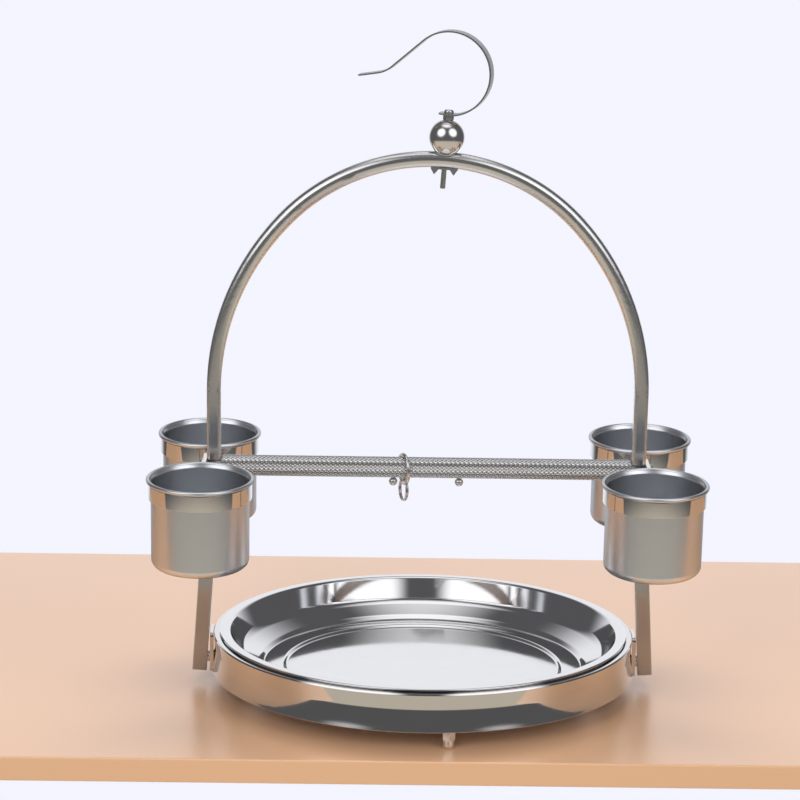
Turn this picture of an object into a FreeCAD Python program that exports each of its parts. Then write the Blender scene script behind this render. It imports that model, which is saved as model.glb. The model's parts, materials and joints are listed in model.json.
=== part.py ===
import FreeCAD, Part
import math
import os
import re
import Sketcher
from types import SimpleNamespace
from FreeCAD import Placement, Rotation, Vector

# Bird perch stand: a drop-in tray on a polished ring, and a frame that tilts on the ring's two side tabs.
# The frame carries a knurled perch, four food cups in band rings, a hoop over the perch and a hanging hook.
# Origin on the table under the ring's centre, X along the perch, Y towards the back, Z up, millimetres.

DRIVING_SIZES = (
    # feet: domed cap nuts on studs, each in a lug welded inside the ring
    ("foot_height", 13.3),
    ("foot_flats", 9.0),
    ("foot_hex_height", 6.4),
    ("foot_dome_radius", 4.4),
    ("foot_tip_radius", 1.2),
    ("foot_stud_radius", 2.5),
    ("foot_stud_grip", 8.0),
    ("foot_lug_width", 9.0),
    ("foot_lug_wall", 2.4),
    ("foot_edge", 0.6),
    ("foot_lug_height", 8.0),
    ("foot_front_angle", 5.9),
    # ring: a rolled band with a lip turned inwards, a bead on the lip and a doubled bottom edge
    ("band_radius", 161.2),
    ("band_wall", 1.2),
    ("band_height", 28.7),
    ("lip_width", 8.5),
    ("lip_round", 2.4),
    ("lip_bead_height", 1.3),
    ("lip_bead_width", 1.4),
    ("hem_height", 2.7),
    ("hem_thickness", 2.2),
    ("hem_round", 0.8),
    # side tabs and pivots
    ("tab_thickness", 2.3),
    ("tab_width", 28.0),
    ("tab_height", 30.4),
    ("tab_drop", 2.2),
    ("tab_corner", 3.0),
    ("pivot_height", 19.6),
    ("pivot_radius", 2.5),
    ("pivot_play", 0.05),
    ("pivot_side_play", 0.3),
    ("pivot_head_radius", 3.3),
    ("pivot_head_height", 2.4),
    ("pivot_tail_radius", 3.6),
    ("pivot_tail_height", 3.0),
    ("spacer_radius", 4.25),
    ("spacer_round", 0.9),
    # tray
    ("tray_setback", 4.5),
    ("tray_lip", 8.0),
    ("tray_wall", 0.9),
    ("tray_rim_drop", 1.4),
    ("tray_rim_round", 1.1),
    ("tray_shoulder_round", 2.5),
    ("tray_side_drop", 18.8),
    ("tray_side_lean", 8.0),
    ("tray_side_round", 9.0),
    ("tray_slope_width", 15.0),
    ("tray_slope_drop", 7.2),
    ("tray_step_width", 3.0),
    ("tray_step_drop", 2.8),
    ("tray_ledge_width", 15.5),
    ("tray_floor_step", 1.8),
    ("tray_step_round", 1.6),
    # frame: lean at rest, legs, perch
    ("frame_lean_angle", 4.0),
    ("leg_splay_angle", 3.84),
    ("leg_width", 11.0),
    ("leg_wall", 1.2),
    ("leg_corner", 0.8),
    ("leg_bottom_height", 9.8),
    ("leg_top_rise", 5.0),
    ("leg_joint_gap", 0.5),
    ("leg_side_gap", 2.45),
    ("perch_height", 173.8),
    ("perch_radius", 8.0),
    ("perch_end_chamfer", 0.8),
    ("bolt_radius", 3.0),
    ("bolt_grip", 14.0),
    ("bolt_head_radius", 4.8),
    ("bolt_head_height", 3.0),
    ("bolt_head_round", 2.4),
    ("joiner_width", 7.9),
    ("joiner_corner", 1.0),
    ("joiner_reach", 14.0),
    ("stop_radius", 3.3),
    ("stop_place", 25.0),
    ("stop_drop", 11.2),
    # hoop: a three-centre arch, round at the top and pressed to a rounded square at the legs
    ("hoop_tube_radius", 6.1),
    ("hoop_tube_wall", 1.0),
    ("hoop_leg_width", 10.8),
    ("hoop_leg_corner", 3.0),
    ("hoop_leg_crowning", 0.08),
    ("hoop_crown_rise", 236.9),
    ("hoop_arc_step", 42.8),
    ("hoop_top_angle", 45.7),
    # cups and the bands that hold them
    ("cup_stand_off", 0.95),
    ("cup_reach", 60.9),
    ("cup_radius", 36.3),
    ("cup_wall", 0.8),
    ("cup_height", 68.0),
    ("cup_corner", 6.0),
    ("cup_flare", 1.4),
    ("cup_flare_height", 2.2),
    ("cup_flare_round", 1.2),
    ("cup_bead_radius", 1.5),
    ("cup_bead_reach", 2.0),
    ("cup_rim_rise", 8.8),
    ("cup_seat_gap", 0.3),
    ("cup_band_play", 0.8),
    ("cup_band_wall", 1.2),
    ("cup_band_height", 12.0),
    ("strip_thickness", 1.4),
    ("strip_sink", 1.3),
    # leash ring and link
    ("leash_ring_radius", 11.0),
    ("leash_ring_wire", 1.5),
    ("leash_ring_gap", 0.3),
    ("leash_ring_place", 17.0),
    ("leash_ring_yaw_angle", 18.0),
    ("link_radius", 8.4),
    ("link_wire", 0.65),
    ("link_coil_offset", 0.58),
    ("link_rise", 3.2),
    ("link_yaw_angle", 20.0),
    # finial: screw, ball, nut and wing nut on one axis square to the hoop
    ("finial_angle", 3.5),
    ("ball_radius", 13.35),
    ("ball_rise", 16.7),
    ("screw_radius", 2.0),
    ("screw_below", 21.6),
    ("screw_head_radius", 3.6),
    ("screw_head_height", 2.6),
    ("screw_head_round", 1.6),
    ("hook_nut_flats", 7.0),
    ("hook_nut_height", 3.5),
    ("hook_nut_sink", 0.4),
    ("hook_play", 0.1),
    ("wing_span", 20.0),
    ("wing_base_height", 1.0),
    ("wing_base_width", 7.0),
    ("wing_base_sink", 0.6),
    ("wing_inner", 3.8),
    ("wing_tip", 7.2),
    ("wing_drop", 4.6),
    ("wing_thickness", 1.4),
    ("wing_round", 0.5),
    # hook: a flat strip bent on the flat
    ("hook_width", 10.0),
    ("hook_thickness", 1.3),
    ("hook_yaw_angle", 15.5),
    ("hook_stub", 7.0),
    ("hook_flat_run", 4.0),
    ("hook_heel_radius", 11.5),
    ("hook_heel_angle", 15.4),
    ("hook_bow_radius", 30.6),
    ("hook_bow_angle", 208.8),
    ("hook_straight", 30.9),
    ("hook_tail_radius", 22.5),
    ("hook_tail_angle", 30.8),
    ("hook_tail_run", 15.3),
    ("hook_end_round", 2.5),
    # how far the cutting tools run past what they cut
    ("overrun", 2.0),
)

# Sizes that follow from the driving ones: where pieces seat on each other.
FOLLOWING_SIZES = (
    # the feet stand under the band, inside its hem
    ("foot_reach", "band_radius - hem_thickness - foot_edge - foot_stud_radius"),
    ("foot_lug_depth", "foot_lug_wall + 2 * foot_stud_radius + foot_edge"),
    # the lip and the tray on it
    ("lip_inner_radius", "band_radius - lip_width"),
    ("tray_radius", "band_radius - tray_setback"),
    # the legs stand beside the tabs, and the bar, the hoop and the cups go by the legs
    ("leg_lean_out", "(perch_height - pivot_height) * tan(leg_splay_angle * 1 deg)"),
    ("leg_face", "leg_width / 2 / cos(leg_splay_angle * 1 deg)"),
    ("leg_half_gauge", "band_radius + tab_thickness + leg_side_gap + leg_face - leg_lean_out"),
    ("perch_length", "2 * (leg_half_gauge - leg_face + perch_radius * tan(leg_splay_angle * 1 deg))"),
    ("cup_place", "leg_half_gauge + leg_width / 2 + cup_stand_off"),
    ("hoop_half_width", "leg_half_gauge - leg_top_rise * tan(leg_splay_angle * 1 deg)"),
    ("hoop_side_radius", "hoop_half_width + hoop_arc_step * sin(hoop_top_angle * 1 deg)"),
    ("hoop_top_radius", "hoop_side_radius - hoop_arc_step"),
    ("hoop_crown_height", "perch_height + hoop_crown_rise"),
)
FOOT_NAMES = ("front", "back_right", "back_left")
HOOP_SIDE_SECTIONS = 9
HEX_SIDES = 6

document = FreeCAD.newDocument("bird_perch_stand")
sheet = document.addObject("Spreadsheet::Sheet", "Sizes")
cells = [(alias, str(value)) for alias, value in DRIVING_SIZES]
cells += [(alias, "=" + formula) for alias, formula in FOLLOWING_SIZES]
for row, (alias, content) in enumerate(cells, start=1):
    sheet.set("A%d" % row, alias)
    sheet.setAlias("B%d" % row, alias)
    sheet.set("B%d" % row, content)
document.recompute()
size = SimpleNamespace(**{alias: float(sheet.get(alias)) for alias, _ in cells})
ALIAS_WORD = re.compile(r"\b(%s)\b" % "|".join(alias for alias, _ in cells))

X_AXIS = Vector(1, 0, 0)
Y_AXIS = Vector(0, 1, 0)
Z_AXIS = Vector(0, 0, 1)
FULL_TURN = 360
QUARTER_TURN = 90
FRONT = 3 * QUARTER_TURN
NO_TURN = Rotation()
SIDES = (("left", -1), ("right", 1))
ENDS = (("front", -1), ("back", 1))
sub_parts = []

# Places that several pieces share.
ring_top = size.foot_height + size.band_height
splay = math.radians(size.leg_splay_angle)
leg_top = size.perch_height + size.leg_top_rise
leg_half = size.leg_width / 2
tab_face = size.band_radius + size.tab_thickness
cup_bottom = size.perch_height + size.cup_rim_rise - size.cup_height
band_gap = 2 * size.cup_bead_radius + size.cup_seat_gap
cup_band_bottom = cup_bottom + size.cup_height - band_gap - size.cup_band_height
crown_centre = Vector(0, 0, size.hoop_crown_height - size.hoop_top_radius)
top_turn = math.radians(size.hoop_top_angle)
spring_height = crown_centre.z - size.hoop_arc_step * math.cos(top_turn)


def words(expression):
    return ALIAS_WORD.sub(r"Sizes.\1", expression)


def bind(item, **expressions):
    """Ties an object's properties to the sheet; the expressions use the sheet's own names."""
    for name, expression in expressions.items():
        item.setExpression(name, words(expression))
    return item


def primitive(kind, name, placement=Placement(), **expressions):
    item = bind(document.addObject("Part::" + kind, name), **expressions)
    item.Placement = placement
    return item


def solid_feature(name, shape, placement=Placement()):
    item = document.addObject("Part::Feature", name)
    item.Shape = shape
    item.Placement = placement
    return item


def cut(name, base, *tools):
    """Takes the tools away from the base, one after the other, and returns the last step."""
    for number, tool in enumerate(tools):
        step = document.addObject("Part::Cut", "%s_cut_%d" % (name, number))
        step.Base = base
        step.Tool = tool
        base = step
    return base


def fuse(name, *pieces):
    result = document.addObject("Part::MultiFuse", name + "_fuse")
    result.Shapes = list(pieces)
    return result


def common(name, *pieces):
    result = document.addObject("Part::MultiCommon", name + "_common")
    result.Shapes = list(pieces)
    return result


def keep(name, item, placement=None):
    """Names a finished piece and moves it to its place."""
    item.Label = name
    if placement is not None:
        item.Placement = placement
    sub_parts.append(item)


def at(x, y, z, turn=NO_TURN):
    return Placement(Vector(x, y, z), turn)


def along_x(start, sign, height):
    """A place whose Z runs outwards along X, from the given distance."""
    return at(sign * start, 0, height, Rotation(Y_AXIS, sign * QUARTER_TURN))


def leaned(placement=Placement()):
    """The frame's own place: it leans to the front about the pivots' axis."""
    pivot = Vector(0, 0, size.pivot_height)
    return Placement(Vector(), Rotation(X_AXIS, size.frame_lean_angle), pivot).multiply(placement)


def leg_place(sign, slide=0.0):
    """A lower leg's own place: origin on the perch's axis, moved along the leg, Z along the leg."""
    turn = Rotation(Y_AXIS, -sign * size.leg_splay_angle)
    return at(sign * size.leg_half_gauge, 0, size.perch_height, turn).multiply(at(0, 0, slide))


def finial_place(slide=0.0):
    """The finial's own place: origin on the hoop's centre line, Z outwards and square to the tube."""
    turn = Rotation(Y_AXIS, size.finial_angle)
    return Placement(crown_centre, turn).multiply(at(0, 0, size.hoop_top_radius + slide))


def origin_plane(body, role):
    return next(item for item in body.Origin.OriginFeatures if item.Role == role)


def new_sketch(body, role, name):
    sketch = body.newObject("Sketcher::SketchObject", name)
    sketch.AttachmentSupport = [(origin_plane(body, role), "")]
    sketch.MapMode = "FlatFace"
    return sketch


def bind_constraint(sketch, number, expression):
    sketch.setExpression("Constraints[%d]" % number, words(expression))


def sketch_circle(sketch, radius, down=None):
    """A circle on the sketch's vertical axis, its radius and depth under the origin tied to the sheet."""
    centre = Vector(0, -size.perch_radius, 0) if down else Vector()
    circle = sketch.addGeometry(Part.Circle(centre, Z_AXIS, size.perch_radius), False)
    radius_number = sketch.addConstraint(Sketcher.Constraint("Radius", circle, size.perch_radius))
    bind_constraint(sketch, radius_number, radius)
    if down is None:
        sketch.addConstraint(Sketcher.Constraint("Coincident", circle, 3, -1, 1))
        return
    sketch.addConstraint(Sketcher.Constraint("PointOnObject", circle, 3, -2))
    depth = sketch.addConstraint(Sketcher.Constraint("DistanceY", circle, 3, -1, 1, size.perch_radius))
    bind_constraint(sketch, depth, down)


def sketch_rectangle(sketch, width, height):
    """A rectangle centred on the sketch's origin, both sides tied to the sheet."""
    half = leg_half
    corners = [Vector(x, y, 0) for x, y in ((-half, -half), (half, -half), (half, half), (-half, half))]
    pairs = zip(corners, corners[1:] + corners[:1])
    lines = [sketch.addGeometry(Part.LineSegment(start, end), False) for start, end in pairs]
    for number, line in enumerate(lines):
        sketch.addConstraint(Sketcher.Constraint("Coincident", line, 2, lines[number - 3], 1))
        sketch.addConstraint(Sketcher.Constraint("Vertical" if number % 2 else "Horizontal", line))
    sketch.addConstraint(Sketcher.Constraint("Symmetric", lines[0], 1, lines[1], 2, -1, 1))
    across = sketch.addConstraint(Sketcher.Constraint("DistanceX", lines[0], 1, lines[0], 2, size.leg_width))
    along = sketch.addConstraint(Sketcher.Constraint("DistanceY", lines[1], 1, lines[1], 2, size.leg_width))
    bind_constraint(sketch, across, width)
    bind_constraint(sketch, along, height)


def pad(body, sketch, length, midplane=False):
    feature = body.newObject("PartDesign::Pad", sketch.Name + "_pad")
    feature.Profile = sketch
    feature.Midplane = midplane
    bind(feature, Length=length)
    body.Tip = feature


def through_pocket(body, sketch):
    feature = body.newObject("PartDesign::Pocket", sketch.Name + "_pocket")
    feature.Profile = sketch
    feature.Type = 1
    feature.Midplane = True
    body.Tip = feature


def work_edges(body, kind, wanted, **expressions):
    """Rounds or chamfers the edges that the test picks, and stops if it picks none."""
    document.recompute()
    base = body.Tip
    picked = ["Edge%d" % (number + 1) for number, edge in enumerate(base.Shape.Edges) if wanted(edge)]
    assert picked, body.Name
    feature = body.newObject("PartDesign::" + kind, body.Name + "_" + kind)
    feature.Base = (base, picked)
    bind(feature, **expressions)
    body.Tip = feature


def runs_along(edge, axis):
    ends = [vertex.Point for vertex in edge.Vertexes]
    return len(ends) == 2 and (ends[1] - ends[0]).cross(axis).Length < Part.Precision.confusion()


def rounded_outline(points, radii):
    """A face inside a closed outline, each corner rounded by its radius, or sharp where that is zero."""
    stops = []
    for number, corner in enumerate(points):
        radius = radii[number]
        if not radius:
            stops.append((corner, None, corner))
            continue
        back = (points[number - 1] - corner).normalize()
        ahead = (points[(number + 1) % len(points)] - corner).normalize()
        half = back.getAngle(ahead) / 2
        reach = radius / math.tan(half)
        centre = corner + (back + ahead).normalize() * (radius / math.sin(half))
        middle = centre + (corner - centre).normalize() * radius
        stops.append((corner + back * reach, middle, corner + ahead * reach))
    edges = []
    for (start, middle, end), following in zip(stops, stops[1:] + stops[:1]):
        if middle:
            edges.append(Part.Arc(start, middle, end).toShape())
        edges.append(Part.LineSegment(end, following[0]).toShape())
    return Part.Face(Part.Wire(edges))


def sheet_outline(path, radii, wall):
    """The section of bent sheet: a path with rounded bends, and the same path one wall to its left."""
    moved = []
    moved_radii = []
    ways = [(end - start).normalize() for start, end in zip(path, path[1:])]
    for point, radius, before, after in zip(path, radii, ways[:1] + ways, ways + ways[-1:]):
        left = Vector(-before.z - after.z, 0, before.x + after.x).normalize()
        moved.append(point + left * (wall / left.dot(Vector(-after.z, 0, after.x))))
        turns_left = before.x * after.z > before.z * after.x
        moved_radii.append(radius and radius + (-wall if turns_left else wall))
    return rounded_outline(path + moved[::-1], radii + moved_radii[::-1])


def spun(face):
    return face.revolve(Vector(), Z_AXIS, FULL_TURN)


def side_points(*pairs):
    return [Vector(across, 0, up) for across, up in pairs]


def domed_head(radius, height, corner):
    """A screw's head: a disc standing on its flat face, its top edge rounded into a dome."""
    points = side_points((0, 0), (radius, 0), (radius, height), (0, height))
    return spun(rounded_outline(points, [0, 0, corner, 0]))


# Tray ring: one rolled band, its lip turned inwards carries the tray on a small bead.
def make_tray_ring():
    inside = size.band_radius - size.band_wall
    hem_inside = size.band_radius - size.hem_thickness
    hem_top = size.foot_height + size.hem_height
    under_lip = ring_top - size.band_wall
    bead_top = ring_top + size.lip_bead_height
    bead_outside = size.lip_inner_radius + size.lip_bead_width
    points = side_points(
        (size.lip_inner_radius, under_lip), (inside, under_lip), (inside, hem_top), (hem_inside, hem_top),
        (hem_inside, size.foot_height), (size.band_radius, size.foot_height), (size.band_radius, ring_top),
        (bead_outside, ring_top), (bead_outside, bead_top), (size.lip_inner_radius, bead_top))
    bend = size.lip_round - size.band_wall
    radii = [0, bend, 0, 0, size.hem_round, size.hem_round, size.lip_round, 0, 0, 0]
    band = solid_feature("tray_ring_spun", spun(rounded_outline(points, radii)))
    bore = primitive("Cylinder", "tray_ring_bore",
                     along_x(-size.band_radius - size.overrun, 1, size.pivot_height),
                     Radius="pivot_radius + pivot_play", Height="2 * (band_radius + overrun)")
    keep("tray_ring", cut("tray_ring", band, bore))


# Side tabs: plates that hug the band outside, bored for the pivot pins.
def make_side_tabs():
    for side, sign in SIDES:
        name = "side_tab_" + side
        body = document.addObject("PartDesign::Body", name + "_body")
        plate = new_sketch(body, "YZ_Plane", name + "_plate")
        sketch_rectangle(plate, "tab_width", "tab_height")
        pad(body, plate, "2 * tab_thickness")
        work_edges(body, "Fillet", lambda edge: runs_along(edge, X_AXIS), Radius="tab_corner")
        hole = new_sketch(body, "YZ_Plane", name + "_hole")
        sketch_circle(hole, "pivot_radius + pivot_play",
                      "foot_height + tab_height / 2 - tab_drop - pivot_height")
        through_pocket(body, hole)
        start = tab_face - 2 * size.tab_thickness if sign > 0 else -tab_face
        body.Placement = at(start, 0, size.foot_height - size.tab_drop + size.tab_height / 2)
        drum = primitive("Cylinder", name + "_drum", Radius="band_radius",
                         Height="foot_height + 2 * tab_height")
        keep(name, cut(name, body, drum))


# Feet: a lug inside the band, a stud in the lug and a domed cap nut on the stud, three times.
def make_feet():
    dome_height = size.foot_height - size.foot_hex_height
    lug_inside = size.foot_reach - size.foot_stud_radius - size.foot_lug_wall
    stud_start = size.foot_height - size.foot_stud_grip
    for number, label in enumerate(FOOT_NAMES):
        turn = FRONT + size.foot_front_angle + FULL_TURN * number / len(FOOT_NAMES)
        here = Placement(Vector(), Rotation(Z_AXIS, turn))
        axis = here.multiply(at(size.foot_reach, 0, 0))

        lug_name = "foot_lug_" + label
        block = primitive("Box", lug_name + "_block",
                          here.multiply(at(lug_inside, -size.foot_lug_width / 2, size.foot_height)),
                          Length="foot_lug_depth + overrun", Width="foot_lug_width",
                          Height="foot_lug_height")
        drum = primitive("Cylinder", lug_name + "_drum", Radius="band_radius - hem_thickness",
                         Height="foot_height + 2 * foot_lug_height")
        bore = primitive("Cylinder", lug_name + "_bore", axis, Radius="foot_stud_radius",
                         Height="foot_height + 2 * foot_lug_height")
        keep(lug_name, cut(lug_name, common(lug_name, block, drum), bore))

        stud = primitive("Cylinder", "stud_" + label, Radius="foot_stud_radius",
                         Height="foot_stud_grip + foot_lug_height")
        keep("foot_stud_" + label, stud, axis.multiply(at(0, 0, stud_start)))

        name = "foot_cap_" + label
        nut = primitive("Prism", name + "_hex", at(0, 0, dome_height),
                        Circumradius="foot_flats / 2 / cos(30 deg)", Height="foot_hex_height")
        nut.Polygon = HEX_SIDES
        dome_side = side_points((0, 0), (size.foot_dome_radius, 0),
                                (size.foot_dome_radius, dome_height), (0, dome_height))
        dome_round = size.foot_dome_radius - size.foot_tip_radius
        dome = solid_feature(name + "_dome", spun(rounded_outline(dome_side, [0, dome_round, 0, 0])))
        thread = primitive("Cylinder", name + "_thread", at(0, 0, stud_start), Radius="foot_stud_radius",
                           Height="foot_stud_grip + overrun")
        keep(name, cut(name, fuse(name, nut, dome), thread), axis)


# Tray: pressed from one sheet, a flat lip with a turned rim, a steep side, a step and a flat floor.
def make_tray():
    steps = (
        (0, size.tray_rim_drop, size.tray_rim_round),
        (-size.tray_lip, 0, size.tray_shoulder_round),
        (-size.tray_side_lean, -size.tray_side_drop, size.tray_side_round),
        (-size.tray_slope_width, -size.tray_slope_drop, size.tray_step_round),
        (-size.tray_step_width, -size.tray_step_drop, size.tray_step_round),
        (-size.tray_ledge_width, 0, size.tray_step_round),
        (-size.tray_floor_step, -size.tray_floor_step, size.tray_step_round),
    )
    top = ring_top + size.lip_bead_height + size.tray_wall
    path = [Vector(size.tray_radius, 0, top - size.tray_rim_drop)]
    for across, up, _ in steps:
        path.append(path[-1] + Vector(across, 0, up))
    path.append(Vector(0, 0, path[-1].z))
    radii = [0] + [bend for _, _, bend in steps] + [0]
    sheet = spun(sheet_outline(path, radii, size.tray_wall))
    keep("drop_in_tray", solid_feature("drop_in_tray_spun", sheet))


def leg_block(name, sign):
    """The outside of a lower leg as a plain block, to fit other pieces to its faces."""
    corner = at(-leg_half, -3 * leg_half, -size.perch_height)
    return primitive("Box", name, leg_place(sign).multiply(corner),
                     Length="leg_width", Width="3 * leg_width", Height="2 * perch_height")


# Lower legs: square tube, open at both ends, bored for the pivot pin and the perch bolt.
def make_lower_legs():
    below = (size.perch_height - size.leg_bottom_height) / math.cos(splay)
    for side, sign in SIDES:
        name = "lower_leg_" + side
        body = document.addObject("PartDesign::Body", name + "_body")
        outside = new_sketch(body, "XY_Plane", name + "_outside")
        sketch_rectangle(outside, "leg_width", "leg_width")
        pad(body, outside,
            "leg_top_rise + (perch_height - leg_bottom_height) / cos(leg_splay_angle * 1 deg)")
        work_edges(body, "Fillet", lambda edge: runs_along(edge, Z_AXIS), Radius="leg_corner")
        inside = new_sketch(body, "XY_Plane", name + "_inside")
        sketch_rectangle(inside, "leg_width - 2 * leg_wall", "leg_width - 2 * leg_wall")
        through_pocket(body, inside)
        body.Placement = leg_place(sign, -below)
        pin_hole = primitive("Cylinder", name + "_pin_hole", along_x(0, sign, size.pivot_height),
                             Radius="pivot_radius", Height="leg_half_gauge + leg_width")
        bolt_hole = primitive("Cylinder", name + "_bolt_hole", along_x(0, sign, size.perch_height),
                              Radius="bolt_radius", Height="leg_half_gauge + leg_width")
        keep(name, cut(name, body, pin_hole, bolt_hole), leaned())


# Pivot pins: a head inside the band, a shank through band, tab and spacer, a second head closed in the leg.
def make_pivots():
    leg_centre = size.leg_half_gauge + math.tan(splay) * (size.perch_height - size.pivot_height)
    leg_inner_face = leg_centre - leg_half / math.cos(splay)
    tail_face = leg_inner_face + size.leg_wall / math.cos(splay) + size.pivot_tail_radius * math.tan(splay)
    head_face = size.band_radius - size.band_wall - size.pivot_side_play
    spacer_face = tab_face + size.pivot_side_play
    for side, sign in SIDES:
        name = "pivot_pin_" + side
        shank = primitive("Cylinder", name + "_shank", along_x(head_face, sign, size.pivot_height),
                          Radius="pivot_radius")
        shank.Height = tail_face - head_face
        head = primitive("Cylinder", name + "_head",
                         along_x(head_face - size.pivot_head_height, sign, size.pivot_height),
                         Radius="pivot_head_radius", Height="pivot_head_height")
        tail = primitive("Cylinder", name + "_tail", along_x(tail_face, sign, size.pivot_height),
                         Radius="pivot_tail_radius", Height="pivot_tail_height")
        keep(name, fuse(name, shank, head, tail), leaned())

        name = "pivot_spacer_" + side
        reach = leg_centre - spacer_face
        dome = solid_feature(name + "_dome", spun(rounded_outline(
            side_points((0, 0), (size.spacer_radius, 0), (size.spacer_radius, reach), (0, reach)),
            [0, size.spacer_round, 0, 0])), along_x(spacer_face, sign, size.pivot_height))
        bore = primitive("Cylinder", name + "_bore", along_x(0, sign, size.pivot_height),
                         Radius="pivot_radius", Height="leg_half_gauge + leg_width")
        keep(name, cut(name, dome, leg_block(name + "_trim", sign), bore), leaned())


def hoop_section(centre, outward, share, inset):
    """A closed section across the hoop's tube: a circle at share zero, a rounded square at share one."""
    def blend(round_value, square_value):
        return round_value + (square_value - round_value) * share
    radius = size.hoop_tube_radius - inset
    half = size.hoop_leg_width / 2 - inset
    corner = size.hoop_leg_corner - inset
    eighth = math.pi / 8
    side_middle = blend(radius, half)
    side_end = blend(radius * math.cos(eighth), half - size.hoop_leg_crowning)
    side_half = blend(radius * math.sin(eighth), half - corner)
    diagonal = blend(radius, (half - corner) * math.sqrt(2) + corner) * math.sqrt(0.5)
    edges = []
    for u, v in ((outward, Y_AXIS), (Y_AXIS, -outward), (-outward, -Y_AXIS), (-Y_AXIS, outward)):
        start = centre + u * side_end - v * side_half
        heel = centre + u * side_end + v * side_half
        following = centre + v * side_end + u * side_half
        edges.append(Part.Arc(start, centre + u * side_middle, heel).toShape())
        edges.append(Part.Arc(heel, centre + (u + v) * diagonal, following).toShape())
    return Part.Wire(edges)


def hoop_solid(inset, end_height):
    """The hoop's outside, or its bore when the inset is the tube's wall, as one solid."""
    crown_start = Vector(-math.sin(top_turn), 0, math.cos(top_turn))
    crown = hoop_section(crown_centre + crown_start * size.hoop_top_radius, crown_start, 0, inset)
    solids = [Part.Face(crown).revolve(crown_centre, Y_AXIS, 2 * size.hoop_top_angle)]
    for _, sign in SIDES:
        side_centre = Vector(sign * (size.hoop_half_width - size.hoop_side_radius), 0, spring_height)
        sections = []
        for number in range(HOOP_SIDE_SECTIONS):
            share = number / (HOOP_SIDE_SECTIONS - 1)
            angle = top_turn + (math.pi / 2 - top_turn) * share
            outward = Vector(sign * math.sin(angle), 0, math.cos(angle))
            middle = side_centre + outward * size.hoop_side_radius
            sections.append(hoop_section(middle, outward, share, inset))
        solids.append(Part.makeLoft(sections, True, False))
        foot = hoop_section(Vector(sign * size.hoop_half_width, 0, spring_height), X_AXIS * sign, 1, inset)
        solids.append(Part.Face(foot).extrude(Vector(0, 0, end_height - spring_height)))
    return solids[0].multiFuse(solids[1:])


# Hoop: one bent tube, open at both leg ends, bored at the crown for the finial's screw.
def make_hoop():
    end = leg_top + size.leg_joint_gap
    outside = solid_feature("hoop_outside", hoop_solid(0, end))
    inside = solid_feature("hoop_inside", hoop_solid(size.hoop_tube_wall, end - size.overrun))
    hole = primitive("Cylinder", "hoop_screw_hole", finial_place(-size.ball_rise), Radius="screw_radius",
                     Height="2 * ball_rise")
    keep("hoop", cut("hoop", outside, inside, hole), leaned())


# Joiners: solid plugs, bent at the joint, that hold the hoop's ends on the lower legs.
def make_joiners():
    for side, sign in SIDES:
        name = "leg_joiner_" + side
        ends = (
            ("lower", leg_place(sign, -size.joiner_reach), "joiner_reach + leg_top_rise"),
            ("upper", at(sign * size.hoop_half_width, 0, leg_top - size.leg_joint_gap), "joiner_reach"),
        )
        pieces = []
        for label, place, length in ends:
            body = document.addObject("PartDesign::Body", "%s_%s" % (name, label))
            section = new_sketch(body, "XY_Plane", "%s_%s_section" % (name, label))
            sketch_rectangle(section, "joiner_width", "joiner_width")
            pad(body, section, length)
            work_edges(body, "Fillet", lambda edge: runs_along(edge, Z_AXIS), Radius="joiner_corner")
            body.Placement = place
            pieces.append(body)
        bolt_hole = primitive("Cylinder", name + "_bolt_hole", along_x(0, sign, size.perch_height),
                              Radius="bolt_radius", Height="leg_half_gauge + leg_width")
        keep(name, cut(name, fuse(name, *pieces), bolt_hole), leaned())


# Perch: a bar between the legs, its ends trimmed to their splayed faces.
def make_perch():
    body = document.addObject("PartDesign::Body", "perch_bar_body")
    section = new_sketch(body, "YZ_Plane", "perch_bar_section")
    sketch_circle(section, "perch_radius")
    pad(body, section, "perch_length", midplane=True)
    work_edges(body, "Chamfer", lambda edge: len(edge.Vertexes) == 1, Size="perch_end_chamfer")
    body.Placement = at(0, 0, size.perch_height)
    trims = [leg_block("perch_trim_" + side, sign) for side, sign in SIDES]
    holes = [primitive("Cylinder", "perch_bolt_hole_" + side,
                       along_x(size.perch_length / 2 - size.bolt_grip, sign, size.perch_height),
                       Radius="bolt_radius", Height="bolt_grip + overrun") for side, sign in SIDES]
    keep("perch_bar", cut("perch_bar", body, *trims, *holes), leaned())


# Perch bolts: domed heads on the cup strips, shanks through strip, leg and joiner into the bar.
def make_perch_bolts():
    strip_face = size.cup_place + size.strip_thickness
    start = size.perch_length / 2 - size.bolt_grip
    for side, sign in SIDES:
        name = "perch_bolt_" + side
        shank = primitive("Cylinder", name + "_shank", along_x(start, sign, size.perch_height),
                          Radius="bolt_radius")
        shank.Height = strip_face - start
        head = solid_feature(name + "_head",
                             domed_head(size.bolt_head_radius, size.bolt_head_height, size.bolt_head_round),
                             along_x(strip_face, sign, size.perch_height))
        keep(name, fuse(name, shank, head), leaned())


# Cup strips: a flat strip across each leg's outer face, its ends meeting the two bands.
def make_cup_strips():
    for side, sign in SIDES:
        name = "cup_strip_" + side
        start = size.cup_place - size.strip_sink if sign > 0 else -size.cup_place - size.strip_thickness
        strip = primitive("Box", name + "_box", at(start, -size.cup_reach, cup_band_bottom),
                          Length="strip_thickness + strip_sink", Width="2 * cup_reach",
                          Height="cup_band_height")
        drums = [primitive("Cylinder", "%s_drum_%s" % (name, end),
                           at(sign * size.cup_place, way * size.cup_reach, cup_band_bottom - size.overrun),
                           Radius="cup_radius + cup_band_play + cup_band_wall",
                           Height="cup_band_height + 2 * overrun") for end, way in ENDS]
        hole = primitive("Cylinder", name + "_hole", along_x(0, sign, size.perch_height),
                         Radius="bolt_radius",
                         Height="leg_half_gauge + 2 * leg_width")
        keep(name, cut(name, strip, leg_block(name + "_trim", sign), hole, *drums), leaned())


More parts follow.
